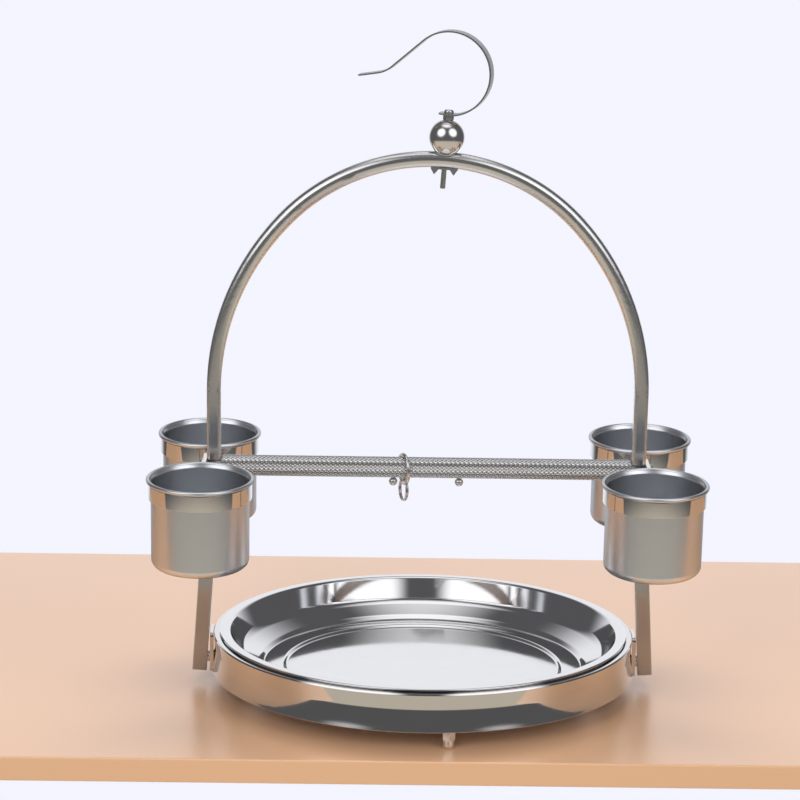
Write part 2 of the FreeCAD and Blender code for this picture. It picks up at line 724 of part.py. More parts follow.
# Cups and bands: a spun cup with a rolled rim hangs by the rim in each band.
def make_cups():
    bead_height = size.cup_height - size.cup_bead_radius
    path = side_points((0, 0), (size.cup_radius, 0), (size.cup_radius, bead_height - size.cup_flare_height),
                       (size.cup_radius + size.cup_flare, bead_height))
    wall = spun(sheet_outline(path, [0, size.cup_corner, size.cup_flare_round, 0], size.cup_wall))
    for side, sign in SIDES:
        for end, way in ENDS:
            x = sign * size.cup_place
            y = way * size.cup_reach
            name = "cup_%s_%s" % (end, side)
            shell = solid_feature(name + "_shell", wall)
            bead = primitive("Torus", name + "_bead", at(0, 0, bead_height),
                             Radius1="cup_radius + cup_bead_reach", Radius2="cup_bead_radius")
            keep(name, fuse(name, shell, bead), leaned(at(x, y, cup_bottom)))

            name = "cup_band_%s_%s" % (end, side)
            body = document.addObject("PartDesign::Body", name + "_body")
            outside = new_sketch(body, "XY_Plane", name + "_outside")
            sketch_circle(outside, "cup_radius + cup_band_play + cup_band_wall")
            pad(body, outside, "cup_band_height")
            inside = new_sketch(body, "XY_Plane", name + "_inside")
            sketch_circle(inside, "cup_radius + cup_band_play")
            through_pocket(body, inside)
            keep(name, body, leaned(at(x, y, cup_band_bottom)))


# Stop balls: two beads welded under the bar, they keep the leash ring between them.
def make_stop_balls():
    for side, sign in SIDES:
        name = "stop_ball_" + side
        ball = primitive("Sphere", name + "_sphere",
                         at(sign * size.stop_place, 0, size.perch_height - size.stop_drop),
                         Radius="stop_radius")
        bar = primitive("Cylinder", name + "_trim", along_x(-size.leg_half_gauge, 1, size.perch_height),
                        Radius="perch_radius", Height="2 * leg_half_gauge")
        keep(name, cut(name, ball, bar), leaned())


# Leash ring and link: a wire ring hung over the bar, and a two-coil split link through it.
def make_leash_ring():
    on_edge = Placement(Vector(), Rotation(Y_AXIS, QUARTER_TURN))
    ring_top_inside = size.perch_height + size.perch_radius + size.leash_ring_gap
    height = ring_top_inside + size.leash_ring_wire - size.leash_ring_radius
    turned = Rotation(Z_AXIS, size.leash_ring_yaw_angle)
    upright = Placement(Vector(-size.leash_ring_place, 0, height), turned)
    ring = primitive("Torus", "leash_ring_torus", Radius1="leash_ring_radius", Radius2="leash_ring_wire")
    keep("leash_ring", ring, leaned(upright.multiply(on_edge)))

    name = "leash_link"
    centre = height - size.leash_ring_radius + size.link_rise - size.link_radius
    upright = Placement(Vector(-size.leash_ring_place, 0, centre), Rotation(Z_AXIS, -size.link_yaw_angle))
    coils = [primitive("Torus", "%s_coil_%s" % (name, side), at(0, 0, sign * size.link_coil_offset),
                       Radius1="link_radius", Radius2="link_wire") for side, sign in SIDES]
    keep(name, fuse(name, *coils), leaned(upright.multiply(on_edge)))


# Finial: a screw through hook, nut, ball and hoop, with a pressed wing nut below the tube.
def make_finial():
    nut_start = size.ball_rise + size.ball_radius - size.hook_nut_sink
    head_start = nut_start + size.hook_nut_height + size.hook_thickness + size.hook_play

    shank = primitive("Cylinder", "finial_shank", at(0, 0, -size.screw_below), Radius="screw_radius")
    shank.Height = head_start + size.screw_below
    head = solid_feature("finial_head",
                         domed_head(size.screw_head_radius, size.screw_head_height, size.screw_head_round),
                         at(0, 0, head_start))
    keep("finial_screw", fuse("finial_screw", shank, head), leaned(finial_place()))

    crown = Placement(crown_centre, Rotation(X_AXIS, QUARTER_TURN))
    tube = primitive("Torus", "ball_trim_tube", crown, Radius1="hoop_top_radius", Radius2="hoop_tube_radius")
    sphere = primitive("Sphere", "finial_sphere", finial_place(size.ball_rise), Radius="ball_radius")
    bore = primitive("Cylinder", "finial_ball_bore", finial_place(), Radius="screw_radius",
                     Height="3 * ball_rise")
    cap = primitive("Cylinder", "finial_ball_cap", finial_place(nut_start), Radius="hook_nut_flats",
                    Height="hook_nut_height")
    keep("finial_ball", cut("finial_ball", sphere, tube, bore, cap), leaned())

    nut = primitive("Prism", "hook_nut_hex", at(0, 0, nut_start),
                    Circumradius="hook_nut_flats / 2 / cos(30 deg)", Height="hook_nut_height")
    nut.Polygon = HEX_SIDES
    nut_bore = primitive("Cylinder", "hook_nut_bore", Radius="screw_radius", Height="3 * ball_rise")
    keep("hook_nut", cut("hook_nut", nut, nut_bore), leaned(finial_place()))

    base_top = size.wing_base_sink - size.hoop_tube_radius
    base_bottom = -size.hoop_tube_radius - size.wing_base_height
    half_span = size.wing_span / 2
    corner = at(-half_span, -size.wing_base_width / 2, base_bottom)
    base = primitive("Box", "wing_base", finial_place().multiply(corner),
                     Length="wing_span", Width="wing_base_width", Height="wing_base_height + wing_base_sink")
    ears = []
    for side, sign in SIDES:
        points = side_points((sign * size.wing_inner, base_top), (sign * half_span, base_top),
                             (sign * half_span, base_bottom),
                             (sign * size.wing_tip, base_bottom - size.wing_drop),
                             (sign * size.wing_inner, base_bottom))
        face = rounded_outline(points, [0, 0, size.wing_round, size.wing_round, 0])
        ears.append(solid_feature("wing_ear_" + side, face.extrude(Vector(0, size.wing_thickness, 0)),
                                  finial_place().multiply(at(0, -size.wing_thickness / 2, 0))))
    tube = primitive("Torus", "wing_trim_tube", crown, Radius1="hoop_top_radius", Radius2="hoop_tube_radius")
    bore = primitive("Cylinder", "wing_bore", finial_place(-size.screw_below), Radius="screw_radius",
                     Height="screw_below")
    keep("wing_nut", cut("wing_nut", fuse("wing_nut", base, *ears), tube, bore), leaned())


def ribbon_side(start, moves, offset):
    """One long side of a bent strip: straight moves (length, 0) and bends (radius, turn in degrees)."""
    heading = 0.0
    point = start + Vector(0, 0, offset)
    edges = []
    for length, turn in moves:
        ahead = Vector(math.cos(heading), 0, math.sin(heading))
        if not turn:
            end = point + ahead * length
            edges.append(Part.LineSegment(point, end).toShape())
        else:
            centre = point + Vector(-ahead.z, 0, ahead.x) * (math.copysign(length, turn) - offset)
            half_turn = Rotation(Y_AXIS, -turn / 2)
            middle = centre + half_turn.multVec(point - centre)
            end = centre + half_turn.multVec(middle - centre)
            edges.append(Part.Arc(point, middle, end).toShape())
            heading += math.radians(turn)
        point = end
    return edges, point


# Hook: a flat strip bent into an open bow with a turned-out tail, free to swivel on the screw.
def make_hook():
    nut_top = size.ball_rise + size.ball_radius - size.hook_nut_sink + size.hook_nut_height
    half = size.hook_thickness / 2
    start = Vector(-size.hook_stub, 0, nut_top + half)
    moves = (
        (size.hook_stub + size.hook_flat_run, 0),
        (size.hook_heel_radius, size.hook_heel_angle),
        (size.hook_bow_radius, size.hook_bow_angle),
        (size.hook_straight, 0),
        (size.hook_tail_radius, -size.hook_tail_angle),
        (size.hook_tail_run, 0),
    )
    top, top_end = ribbon_side(start, moves, half)
    bottom, bottom_end = ribbon_side(start, moves, -half)
    first = Part.LineSegment(start - Vector(0, 0, half), start + Vector(0, 0, half)).toShape()
    last = Part.LineSegment(top_end, bottom_end).toShape()
    side_view = Part.Face(Part.Wire([first] + top + [last] + bottom[::-1]))
    strip = side_view.extrude(Vector(0, size.hook_width, 0))
    strip.translate(Vector(0, -size.hook_width / 2, 0))
    ends = (start, (top_end + bottom_end) / 2)
    corners = [edge for edge in strip.Edges if any(crosses_end(edge, end) for end in ends)]
    ribbon = solid_feature("hook_ribbon", strip.makeFillet(size.hook_end_round, corners))
    bore = primitive("Cylinder", "hook_bore", Radius="screw_radius + hook_play", Height="3 * ball_rise")
    turned = finial_place().multiply(Placement(Vector(), Rotation(Z_AXIS, -size.hook_yaw_angle)))
    keep("hook_strip", cut("hook_strip", ribbon, bore), leaned(turned))


def crosses_end(edge, end):
    """True for the two edges through the strip's thickness at one of its ends."""
    middle = edge.CenterOfMass
    off_end = Vector(middle.x - end.x, 0, middle.z - end.z).Length
    return off_end < size.hook_thickness / 2 and edge.Length < 2 * size.hook_thickness


make_tray_ring()
make_side_tabs()
make_feet()
make_tray()
make_lower_legs()
make_pivots()
make_hoop()
make_joiners()
make_perch()
make_perch_bolts()
make_cup_strips()
make_cups()
make_stop_balls()
make_leash_ring()
make_finial()
make_hook()
document.recompute()

for item in document.Objects:
    assert not {"Invalid", "Error"} & set(item.State), (item.Name, item.State)

os.makedirs("parts", exist_ok=True)
for part in sub_parts:
    assert not part.Shape.isNull() and part.Shape.isValid(), part.Label
    assert len(part.Shape.Solids) == 1, part.Label
    part.Shape.exportStep("parts/%s.step" % part.Label)
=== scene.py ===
import json
import math

import bpy
from mathutils import Matrix, Vector

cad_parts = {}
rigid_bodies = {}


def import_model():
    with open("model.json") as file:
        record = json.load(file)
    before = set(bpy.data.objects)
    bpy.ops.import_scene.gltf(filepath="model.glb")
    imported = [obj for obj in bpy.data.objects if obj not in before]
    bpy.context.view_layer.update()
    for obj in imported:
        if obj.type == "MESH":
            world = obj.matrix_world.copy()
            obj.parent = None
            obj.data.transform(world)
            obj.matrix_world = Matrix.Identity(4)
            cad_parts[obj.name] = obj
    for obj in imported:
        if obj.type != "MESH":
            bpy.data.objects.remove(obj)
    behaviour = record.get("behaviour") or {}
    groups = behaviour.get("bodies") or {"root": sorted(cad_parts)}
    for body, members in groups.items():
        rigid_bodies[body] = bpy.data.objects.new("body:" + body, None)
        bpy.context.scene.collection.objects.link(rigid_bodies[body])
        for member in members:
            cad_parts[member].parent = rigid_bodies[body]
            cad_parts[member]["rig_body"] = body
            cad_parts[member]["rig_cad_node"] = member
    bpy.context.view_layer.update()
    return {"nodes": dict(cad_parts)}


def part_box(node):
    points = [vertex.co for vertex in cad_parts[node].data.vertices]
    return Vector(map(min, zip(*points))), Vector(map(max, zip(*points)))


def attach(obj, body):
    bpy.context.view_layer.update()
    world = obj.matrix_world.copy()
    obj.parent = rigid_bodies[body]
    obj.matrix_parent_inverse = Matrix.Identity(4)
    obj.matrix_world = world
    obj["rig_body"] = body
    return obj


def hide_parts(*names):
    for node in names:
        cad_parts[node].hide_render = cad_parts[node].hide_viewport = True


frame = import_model()
nodes = frame["nodes"]

# Tray ring: one polished stainless band, rolled round, its top folded inwards as the tray's rest.
# Its lower part curves outwards by two millimetres, so it mirrors the dim room, not the table.
# Its bottom edge is doubled inwards; wiping has left haze and hair scratches.
MM = 0.001
RING_RADIUS = 161.2 * MM
RING_WALL = 1.2 * MM
RING_TOP = 42.0 * MM
RING_BOTTOM = 13.3 * MM
RING_HEM_TOP = 16.0 * MM
RING_HEM_INSIDE = 159.0 * MM
RING_FLARE = 1.2 * MM
RING_FLARE_TOP = 31.0 * MM
RING_FLARE_STEPS = 10
RING_WAIST = 1.0 * MM
RING_INSIDE = 159.2 * MM
RING_CREASE = 0.5 * MM
LIP_INSIDE = 152.7 * MM
LIP_BEAD = 1.3 * MM
SPIN_STEPS = 160
RING_EDGE = 0.5 * MM
RING_TINT = (0.80, 0.785, 0.77, 1)
RING_ROUGHNESS = 0.04
RING_HAZE = 0.06
HAZE_SCALE = 34.0
HAZE_DETAIL = 5.0
HAZE_BREAKUP = 0.6
SCRATCH_SCALE = 420.0
SCRATCH_DETAIL = 3.0
SCRATCH_BREAKUP = 0.7
SCRATCH_STRETCH = (0.06, 1.0, 1.0)
SCRATCH_TURN = (0.3, 0.5, 0.8)
SCRATCH_STRENGTH = 0.04
WAVE_SCALE = 9.0
WAVE_DETAIL = 1.0
MIRROR_WAVE = 0.10 * MM
WIPED_SHADE = 0.93
FULL_TURN = 2 * math.pi
QUARTER_TURN = math.radians(90)
SHARP_ANGLE = math.radians(28)
FLAT_ANGLE = math.radians(0.5)
EDGE_SEGMENTS = 2
JOIN_DISTANCE = 0.002 * MM


def add_node(tree, kind, **values):
    """A node of this kind in the tree, with the named sockets or settings given their values."""
    node = tree.nodes.new(kind)
    for key, value in values.items():
        if key in node.inputs:
            node.inputs[key].default_value = value
        else:
            setattr(node, key, value)
    return node


def make_steel_wear():
    """Haze, hair scratches and a slow unevenness, as every steel surface of the stand has them."""
    group = bpy.data.node_groups.new("Steel wear", "ShaderNodeTree")
    sockets = group.interface
    for name in ("Roughness", "Haze", "Haze Scale"):
        sockets.new_socket(name, in_out="INPUT", socket_type="NodeSocketFloat")
    sockets.new_socket("Place", in_out="INPUT", socket_type="NodeSocketVector")
    for name in ("Roughness", "Height", "Shade"):
        sockets.new_socket(name, in_out="OUTPUT", socket_type="NodeSocketFloat")
    given = group.nodes.new("NodeGroupInput")
    result = group.nodes.new("NodeGroupOutput")
    haze = add_node(group, "ShaderNodeTexNoise", Detail=HAZE_DETAIL, Roughness=HAZE_BREAKUP)
    stretch = add_node(group, "ShaderNodeMapping", Scale=SCRATCH_STRETCH, Rotation=SCRATCH_TURN)
    scratch = add_node(group, "ShaderNodeTexNoise", Scale=SCRATCH_SCALE, Detail=SCRATCH_DETAIL,
                       Roughness=SCRATCH_BREAKUP)
    wave = add_node(group, "ShaderNodeTexNoise", Scale=WAVE_SCALE, Detail=WAVE_DETAIL)
    rough = add_node(group, "ShaderNodeMath", operation="MULTIPLY_ADD")
    height = add_node(group, "ShaderNodeMath", operation="MULTIPLY_ADD")
    height.inputs[1].default_value = SCRATCH_STRENGTH
    link = group.links.new
    link(given.outputs["Place"], haze.inputs["Vector"])
    link(given.outputs["Haze Scale"], haze.inputs["Scale"])
    link(given.outputs["Place"], stretch.inputs["Vector"])
    link(stretch.outputs["Vector"], scratch.inputs["Vector"])
    link(given.outputs["Place"], wave.inputs["Vector"])
    link(haze.outputs["Fac"], rough.inputs[0])
    link(given.outputs["Haze"], rough.inputs[1])
    link(given.outputs["Roughness"], rough.inputs[2])
    link(rough.outputs[0], result.inputs["Roughness"])
    link(scratch.outputs["Fac"], height.inputs[0])
    link(wave.outputs["Fac"], height.inputs[2])
    link(height.outputs[0], result.inputs["Height"])
    link(haze.outputs["Fac"], result.inputs["Shade"])
    return group


def worn_steel(name, tint, roughness, haze, wave=MIRROR_WAVE, haze_scale=HAZE_SCALE):
    """Bare steel in this tint, its roughness and its unevenness from the wear group."""
    material = bpy.data.materials.new(name)
    material.use_nodes = True
    tree = material.node_tree
    steel = tree.nodes["Principled BSDF"]
    steel.inputs["Metallic"].default_value = 1.0
    place = add_node(tree, "ShaderNodeTexCoord")
    wear = add_node(tree, "ShaderNodeGroup", node_tree=steel_wear)
    wear.inputs["Roughness"].default_value = roughness
    wear.inputs["Haze"].default_value = haze
    wear.inputs["Haze Scale"].default_value = haze_scale
    shade = add_node(tree, "ShaderNodeMix", data_type="RGBA", name="shade")
    shade.inputs["A"].default_value = tint
    shade.inputs["B"].default_value = (*(WIPED_SHADE * part for part in tint[:3]), 1)
    bump = add_node(tree, "ShaderNodeBump", name="bump", Strength=1.0, Distance=wave)
    link = tree.links.new
    link(place.outputs["Object"], wear.inputs["Place"])
    link(wear.outputs["Shade"], shade.inputs["Factor"])
    link(shade.outputs["Result"], steel.inputs["Base Color"])
    link(wear.outputs["Roughness"], steel.inputs["Roughness"])
    link(wear.outputs["Height"], bump.inputs["Height"])
    link(bump.outputs["Normal"], steel.inputs["Normal"])
    return material


def pick_only(piece):
    """Selects this piece alone and makes it the one that the operators work on."""
    bpy.ops.object.select_all(action="DESELECT")
    piece.select_set(True)
    bpy.context.view_layer.objects.active = piece


def drawn_line(name, outline):
    """A piece that is one line in the XZ plane, drawn from point to point and left in edit mode."""
    bpy.ops.object.select_all(action="DESELECT")
    bpy.ops.mesh.primitive_plane_add(size=MM)
    piece = bpy.context.object
    piece.name = name
    bpy.ops.object.mode_set(mode="EDIT")
    bpy.ops.mesh.merge(type="CENTER")
    places = [Vector((across, 0, up)) for across, up in outline]
    bpy.ops.transform.translate(value=places[0])
    for before, after in zip(places, places[1:]):
        bpy.ops.mesh.extrude_vertices_move(TRANSFORM_OT_translate={"value": after - before})
    return piece


def spin_round():
    """Spins the section in edit mode once round Z, as a lathe or a spinning tool makes it."""
    bpy.ops.mesh.select_all(action="SELECT")
    bpy.ops.mesh.spin(steps=SPIN_STEPS, angle=FULL_TURN, center=(0, 0, 0), axis=(0, 0, 1))
    bpy.ops.mesh.select_all(action="SELECT")
    bpy.ops.mesh.remove_doubles(threshold=JOIN_DISTANCE)
    bpy.ops.mesh.normals_make_consistent(inside=False)
    bpy.ops.object.mode_set(mode="OBJECT")


def apply_modifier(piece, kind, **settings):
    """Picks the piece and works a modifier with these settings into its mesh."""
    pick_only(piece)
    bpy.ops.object.modifier_add(type=kind)
    modifier = piece.modifiers[-1]
    for key, value in settings.items():
        setattr(modifier, key, value)
    bpy.ops.object.modifier_apply(modifier=modifier.name)


def break_edges(piece, width):
    """Rounds the piece's sharp edges a little and lets the large faces keep their own shading."""
    apply_modifier(piece, "BEVEL", width=width, segments=EDGE_SEGMENTS, limit_method="ANGLE",
                   angle_limit=SHARP_ANGLE)
    bpy.ops.object.shade_smooth_by_angle(angle=SHARP_ANGLE)
    apply_modifier(piece, "WEIGHTED_NORMAL", keep_sharp=True)


def install(piece, material, slot, body, *replaced):
    """Gives a finished piece its material and lets it stand for the named solids of its body."""
    piece.data.materials.clear()
    piece.data.materials.append(material)
    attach(piece, body)
    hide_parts(*replaced)


def edged_copy(node, width, material, slot, body):
    """The same solid as one clean mesh with broken edges, in place of the plain one."""
    pick_only(nodes[node])
    bpy.ops.object.duplicate()
    piece = bpy.context.object
    piece.name = node + "_edged"
    piece.parent = None
    del piece["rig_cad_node"]
    del piece["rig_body"]
    bpy.ops.mesh.customdata_custom_splitnormals_clear()
    bpy.ops.object.mode_set(mode="EDIT")
    bpy.ops.mesh.select_all(action="SELECT")
    bpy.ops.mesh.remove_doubles(threshold=JOIN_DISTANCE)
    bpy.ops.mesh.dissolve_limited(angle_limit=FLAT_ANGLE)
    bpy.ops.object.mode_set(mode="OBJECT")
    break_edges(piece, width)
    install(piece, material, slot, body, node)


def finish_nodes(material, *names):
    """Gives the material to solids whose shape stays."""
    for name in names:
        nodes[name].data.materials.clear()
        nodes[name].data.materials.append(material)


SIDES = ("left", "right")
ENDS = ("front", "back")
FEET = ("front", "back_right", "back_left")

steel_wear = make_steel_wear()
ring_steel = worn_steel("ring_polished_steel", RING_TINT, RING_ROUGHNESS, RING_HAZE)
flare_shares = [1 - step / RING_FLARE_STEPS for step in range(RING_FLARE_STEPS + 1)]
flare_reach = RING_FLARE_TOP - RING_BOTTOM - RING_CREASE
ring = drawn_line("tray_ring_band", (
    (LIP_INSIDE, RING_TOP - RING_WALL),
    (RING_INSIDE, RING_TOP - RING_WALL),
    (RING_INSIDE, RING_HEM_TOP),
    (RING_HEM_INSIDE, RING_HEM_TOP),
    (RING_HEM_INSIDE, RING_BOTTOM),
    (RING_RADIUS + RING_FLARE - RING_CREASE, RING_BOTTOM),
    *((RING_RADIUS - RING_WAIST + (RING_WAIST + RING_FLARE) * share ** 2,
       RING_FLARE_TOP - flare_reach * share) for share in flare_shares),
    (RING_RADIUS, RING_TOP - RING_WALL),
    (RING_RADIUS - RING_WALL / 2, RING_TOP),
    (LIP_INSIDE + RING_WALL, RING_TOP),
    (LIP_INSIDE + RING_WALL, RING_TOP + LIP_BEAD),
    (LIP_INSIDE, RING_TOP + LIP_BEAD),
))
bpy.ops.mesh.select_all(action="SELECT")
bpy.ops.mesh.edge_face_add()
bpy.ops.mesh.delete(type="ONLY_FACE")
spin_round()
break_edges(ring, RING_EDGE)
install(ring, ring_steel, "mirror_steel", "base", "tray_ring")

# Side tabs: short plates of the same steel, bent to the band and spot welded on it.
# The frame's pivots turn in them; their edges are deburred.
TAB_EDGE = 0.35 * MM

for side in SIDES:
    edged_copy("side_tab_" + side, TAB_EDGE, ring_steel, "mirror_steel", "base")

# Feet: domed cap nuts, bright plain steel, duller than the band, screwed on studs under it.
# The lugs that hold the studs are welded inside the band and keep the grey of the weld's cleaning.
FASTENER_TINT = (0.82, 0.815, 0.81, 1)
FASTENER_ROUGHNESS = 0.17
FASTENER_HAZE = 0.14
FASTENER_HAZE_SCALE = 160.0
CAP_EDGE = 0.3 * MM
LUG_TINT = (0.48, 0.475, 0.47, 1)
LUG_ROUGHNESS = 0.35

fastener_steel = worn_steel("fastener_steel", FASTENER_TINT, FASTENER_ROUGHNESS, FASTENER_HAZE,
                            haze_scale=FASTENER_HAZE_SCALE)
lug_steel = worn_steel("welded_steel", LUG_TINT, LUG_ROUGHNESS, FASTENER_HAZE,
                       haze_scale=FASTENER_HAZE_SCALE)
for foot in FEET:
    edged_copy("foot_cap_" + foot, CAP_EDGE, fastener_steel, "fastener_steel", "base")
    finish_nodes(lug_steel, "foot_lug_" + foot, "foot_stud_" + foot)

# Tray: pressed from thin polished sheet, brighter than the ring: a flat lip, a steep side, a slope
# and two low steps down to the floor, with a flat ledge between them. It lies loose on the ring.
# A faint haze from the pressing and the scratches of cleaning cover it.
TRAY_TINT = (0.84, 0.835, 0.84, 1)
TRAY_ROUGHNESS = 0.03
TRAY_HAZE = 0.07

TRAY_WALL = 0.9 * MM
TRAY_SHAPE = (
    (156.7 * MM, 42.8 * MM, 0),
    (156.7 * MM, 44.2 * MM, 1.0 * MM),
    (148.7 * MM, 44.2 * MM, 1.8 * MM),
    (140.7 * MM, 25.4 * MM, 3.4 * MM),
    (125.7 * MM, 18.2 * MM, 0.9 * MM),
    (122.7 * MM, 15.4 * MM, 0.9 * MM),
    (107.2 * MM, 15.4 * MM, 0.9 * MM),
    (105.4 * MM, 13.6 * MM, 0.9 * MM),
    (0, 13.6 * MM, 0),
)
TRAY_ROUND_STEPS = 8

tray = drawn_line("tray_pressed_dish", [(across, up) for across, up, _ in TRAY_SHAPE])
for across, up, cut in TRAY_SHAPE[1:-1]:
    corner = Vector((across, 0, up))
    bpy.ops.mesh.select_all(action="DESELECT")
    bpy.ops.object.mode_set(mode="OBJECT")
    for vertex in tray.data.vertices:
        vertex.select = (vertex.co - corner).length < JOIN_DISTANCE
    bpy.ops.object.mode_set(mode="EDIT")
    bpy.ops.mesh.bevel(affect="VERTICES", offset_type="OFFSET", offset=cut,
                       segments=TRAY_ROUND_STEPS)
spin_round()
apply_modifier(tray, "SOLIDIFY", thickness=TRAY_WALL, offset=-1)
bpy.ops.object.shade_smooth_by_angle(angle=SHARP_ANGLE)
tray_steel = worn_steel("tray_polished_steel", TRAY_TINT, TRAY_ROUGHNESS, TRAY_HAZE)
install(tray, tray_steel, "mirror_steel", "tray", "drop_in_tray")

# Lower legs: square tube with small radii, polished after cutting, open at both ends.
# Pins with domed inner heads and thin collars hold them on the tabs.
# The legs' tint is much darker than the other polished steel: painted shade for the dim room they
# mirror.
LEG_SHADED_TINT = (0.50, 0.52, 0.55, 1)
TUBE_ROUGHNESS = 0.09
TUBE_HAZE = 0.1
TUBE_EDGE = 0.3 * MM
PIN_EDGE = 0.25 * MM

leg_steel = worn_steel("leg_polished_steel", LEG_SHADED_TINT, TUBE_ROUGHNESS, TUBE_HAZE)
for side in SIDES:
    edged_copy("lower_leg_" + side, TUBE_EDGE, leg_steel, "mirror_steel", "frame")
    edged_copy("pivot_pin_" + side, PIN_EDGE, fastener_steel, "fastener_steel", "frame")
    finish_nodes(fastener_steel, "pivot_spacer_" + side, "leg_joiner_" + side)

# Hoop: round tube bent over a former and pressed square towards its legs, then polished lengthwise.
# The polishing has left it a little softer than the legs.
HOOP_TINT = (0.86, 0.855, 0.85, 1)
HOOP_ROUGHNESS = 0.19

hoop_steel = worn_steel("hoop_brushed_steel", HOOP_TINT, HOOP_ROUGHNESS, TUBE_HAZE)
finish_nodes(hoop_steel, "hoop")

# Perch: a bar rolled between two knurling wheels, so that raised diamonds cover it to its ends.
# The grooves between them are painted grey, darker the deeper they lie: painted shade for the
# hollows.
# The ends are turned down where they meet the legs.
KNURL_TINT = (0.92, 0.92, 0.92, 1)
GROOVE_SHADE_TINT = (0.34, 0.335, 0.33, 1)
GROOVE_SHADE_TOP = 7.72 * MM
KNURL_ROUGHNESS = 0.22
KNURL_ROWS = 20
KNURL_CELLS = 92
KNURL_SLOPE = 0.70 * MM
GROOVE_RADIUS = 7.55 * MM
DIAMOND_RADIUS = 7.97 * MM
PERCH_END_LENGTH = 1.4 * MM
PERCH_END_TURN = 0.8 * MM

perch_low, perch_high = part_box("perch_bar")
perch_middle = (perch_low + perch_high) / 2
knurled_half = (perch_high.x - perch_low.x) / 2 - PERCH_END_LENGTH
cell = 2 * knurled_half / KNURL_CELLS

bpy.ops.object.select_all(action="DESELECT")
bpy.ops.mesh.primitive_circle_add(vertices=KNURL_ROWS, radius=GROOVE_RADIUS,
                                  rotation=(0, QUARTER_TURN, 0))
perch = bpy.context.object
perch.name = "perch_knurled_bar"
bpy.ops.object.transform_apply(location=False, rotation=True, scale=False)
bpy.ops.object.mode_set(mode="EDIT")
bpy.ops.mesh.select_all(action="SELECT")
bpy.ops.transform.translate(value=(-knurled_half, 0, 0))
for _ in range(KNURL_CELLS):
    bpy.ops.mesh.extrude_edges_move(TRANSFORM_OT_translate={"value": (cell, 0, 0)})
bpy.ops.mesh.select_all(action="SELECT")
bpy.ops.mesh.normals_make_consistent(inside=False)
bpy.ops.mesh.poke()
bpy.ops.mesh.select_mode(type="EDGE")
bpy.ops.mesh.select_all(action="DESELECT")
bpy.ops.object.mode_set(mode="OBJECT")
for edge in perch.data.edges:
    start, end = (perch.data.vertices[number].co for number in edge.vertices)
    way = end - start
    straight = abs(way.x) < JOIN_DISTANCE or abs(way.x) > cell - JOIN_DISTANCE
    at_end = min(abs(start.x), abs(end.x)) > knurled_half - JOIN_DISTANCE
    edge.select = straight and not at_end
bpy.ops.object.mode_set(mode="EDIT")
bpy.ops.mesh.dissolve_edges(use_verts=False)
bpy.ops.mesh.select_mode(type="FACE")
bpy.ops.mesh.select_all(action="SELECT")
bpy.ops.mesh.inset(thickness=KNURL_SLOPE, depth=DIAMOND_RADIUS - GROOVE_RADIUS, use_individual=True)
bpy.ops.object.mode_set(mode="OBJECT")
for vertex in perch.data.vertices:
    vertex.select = abs(vertex.co.x) > knurled_half - JOIN_DISTANCE
bpy.ops.object.mode_set(mode="EDIT")
bpy.ops.mesh.select_mode(type="VERT")
bpy.ops.object.mode_set(mode="OBJECT")
shrink = (GROOVE_RADIUS - PERCH_END_TURN) / GROOVE_RADIUS
for sign in (-1, 1):
    for vertex in perch.data.vertices:
        vertex.select = sign * vertex.co.x > knurled_half - JOIN_DISTANCE
    bpy.ops.object.mode_set(mode="EDIT")
    outwards = (sign * PERCH_END_LENGTH, 0, 0)
    bpy.ops.mesh.extrude_edges_move(TRANSFORM_OT_translate={"value": outwards})
    bpy.ops.transform.resize(value=(1, shrink, shrink), center_override=(0, 0, 0))
    bpy.ops.mesh.edge_face_add()
    bpy.ops.mesh.select_all(action="DESELECT")
    bpy.ops.object.mode_set(mode="OBJECT")
bpy.ops.object.mode_set(mode="EDIT")
bpy.ops.mesh.select_all(action="SELECT")
bpy.ops.mesh.normals_make_consistent(inside=False)
bpy.ops.transform.translate(value=perch_middle)
bpy.ops.object.mode_set(mode="OBJECT")

knurl_steel = worn_steel("knurled_steel", KNURL_TINT, KNURL_ROUGHNESS, FASTENER_HAZE,
                         haze_scale=FASTENER_HAZE_SCALE)
tree = knurl_steel.node_tree
# The base colour fades to the dark groove tint towards the groove floor: painted shade in the
# hollows of the knurl.
from_middle = add_node(tree, "ShaderNodeVectorMath", operation="SUBTRACT")
from_middle.inputs[1].default_value = perch_middle
across = add_node(tree, "ShaderNodeVectorMath", operation="MULTIPLY")
across.inputs[1].default_value = (0, 1, 1)
reach = add_node(tree, "ShaderNodeVectorMath", operation="LENGTH")
raised = add_node(tree, "ShaderNodeMapRange")
raised.inputs["From Min"].default_value = GROOVE_RADIUS
raised.inputs["From Max"].default_value = GROOVE_SHADE_TOP
painted_shade = add_node(tree, "ShaderNodeMix", data_type="RGBA", name="groove dirt")
painted_shade.inputs["A"].default_value = GROOVE_SHADE_TINT
tree.links.new(tree.nodes["Texture Coordinate"].outputs["Object"], from_middle.inputs[0])
tree.links.new(from_middle.outputs["Vector"], across.inputs[0])
tree.links.new(across.outputs["Vector"], reach.inputs[0])
tree.links.new(reach.outputs["Value"], raised.inputs["Value"])
tree.links.new(raised.outputs["Result"], painted_shade.inputs["Factor"])
tree.links.new(tree.nodes["shade"].outputs["Result"], painted_shade.inputs["B"])
tree.links.new(painted_shade.outputs["Result"], tree.nodes["Principled BSDF"].inputs["Base Color"])
install(perch, knurl_steel, "knurled_steel", "frame", "perch_bar")

# Perch bolts and stop balls: domed bolts go through the cup strips and the legs into the bar.
# Two small beads welded under the bar keep the leash ring between them. All are bright steel.
for side in SIDES:
    edged_copy("perch_bolt_" + side, PIN_EDGE, fastener_steel, "fastener_steel", "frame")
finish_nodes(fastener_steel, *("stop_ball_" + side for side in SIDES))

# Cup strips and bands: strip steel, rolled to rings and welded to a flat piece across each leg.
# Polished like the ring, edges deburred.
STRIP_EDGE = 0.3 * MM

